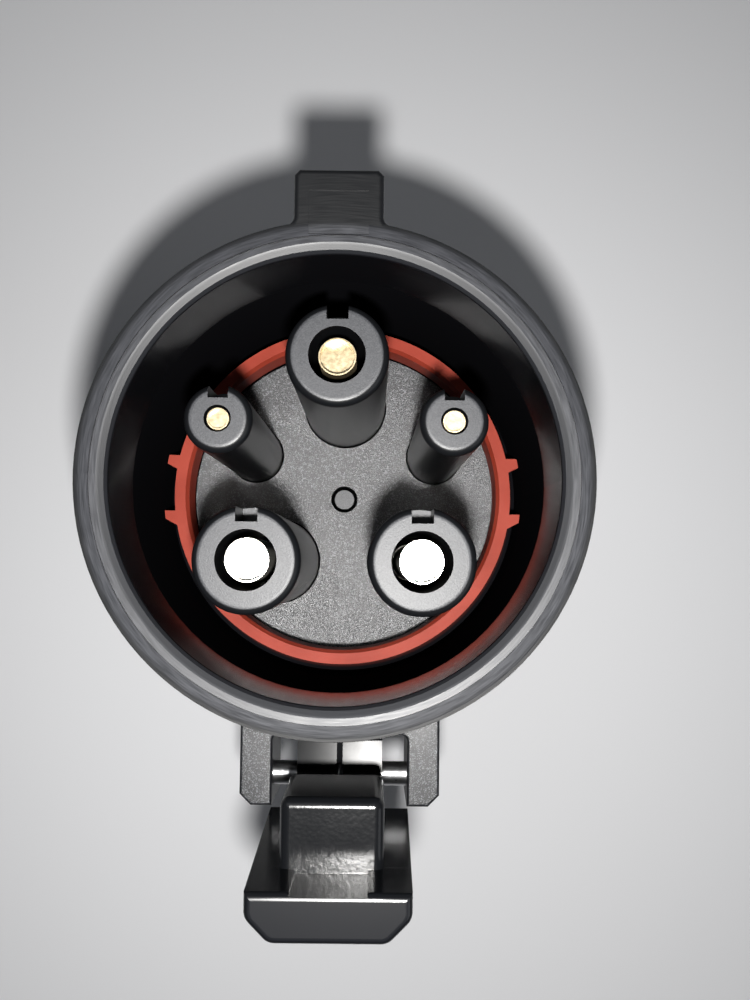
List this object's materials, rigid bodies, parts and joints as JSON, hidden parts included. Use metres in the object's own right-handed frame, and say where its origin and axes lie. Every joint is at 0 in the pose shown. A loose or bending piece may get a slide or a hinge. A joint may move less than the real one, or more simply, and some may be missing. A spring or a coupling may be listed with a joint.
{
  "type": "ev charging adapter",
  "caption": "Charging adapter with a round pin inlet and seal at one end, a contact nose at the other and a spring lever over the handle's latch.",
  "frame": {"origin": "centre of the plug nose's flat end face", "axes": "+Z from the plug nose up to the round inlet's rim, +Y to the ground pin's side, -Y to the lever's side"},
  "size_m": [0.0514, 0.0746, 0.11],
  "materials": {
    "housing": "satin",
    "contact_block": "satin",
    "grained_floor": "fine grain",
    "shell": "fine grain",
    "nose": "satin",
    "lever": "gloss",
    "seal": "soft satin",
    "gasket": "matte",
    "silver_contact": "silver plated",
    "pale_contact": "plated",
    "copper": "bare copper",
    "steel": "turned",
    "lead_cover": "satin"
  },
  "bodies": {
    "adapter": {"inlet_housing": "housing", "seal_ring": "seal", "floor_plate": "grained_floor", "contact_carrier": "contact_block", "clamp_plate": "contact_block", "clamp_screws": "steel", "line_1_pin": "silver_contact", "line_2_pin": "silver_contact", "ground_pin": "pale_contact", "pilot_pin": "pale_contact", "proximity_pin": "pale_contact", "rear_shell": "shell", "joint_gasket": "gasket", "plug_nose": "nose", "line_1_socket": "silver_contact", "line_2_socket": "silver_contact", "ground_socket": "pale_contact", "pilot_socket": "pale_contact", "proximity_socket": "pale_contact", "flange_screws": "steel", "line_1_link": "copper", "line_2_link": "copper", "ground_link": "copper", "pilot_lead": "lead_cover", "proximity_lead": "lead_cover", "lever_pin": "steel", "lever_spring": "steel"},
    "lever": {"lock_lever": "lever"}
  },
  "joints": [
    {"name": "lock_lever_hinge", "type": "hinge", "parent": "adapter", "child": "lever", "pos_m": [0, -0.0352, 0.0748], "axis": [1, 0, 0], "range_deg": [0, 25], "stiffness_Nm_per_rad": 0.05, "springref_deg": -20.05, "deforming": ["lever_spring"]}
  ]
}
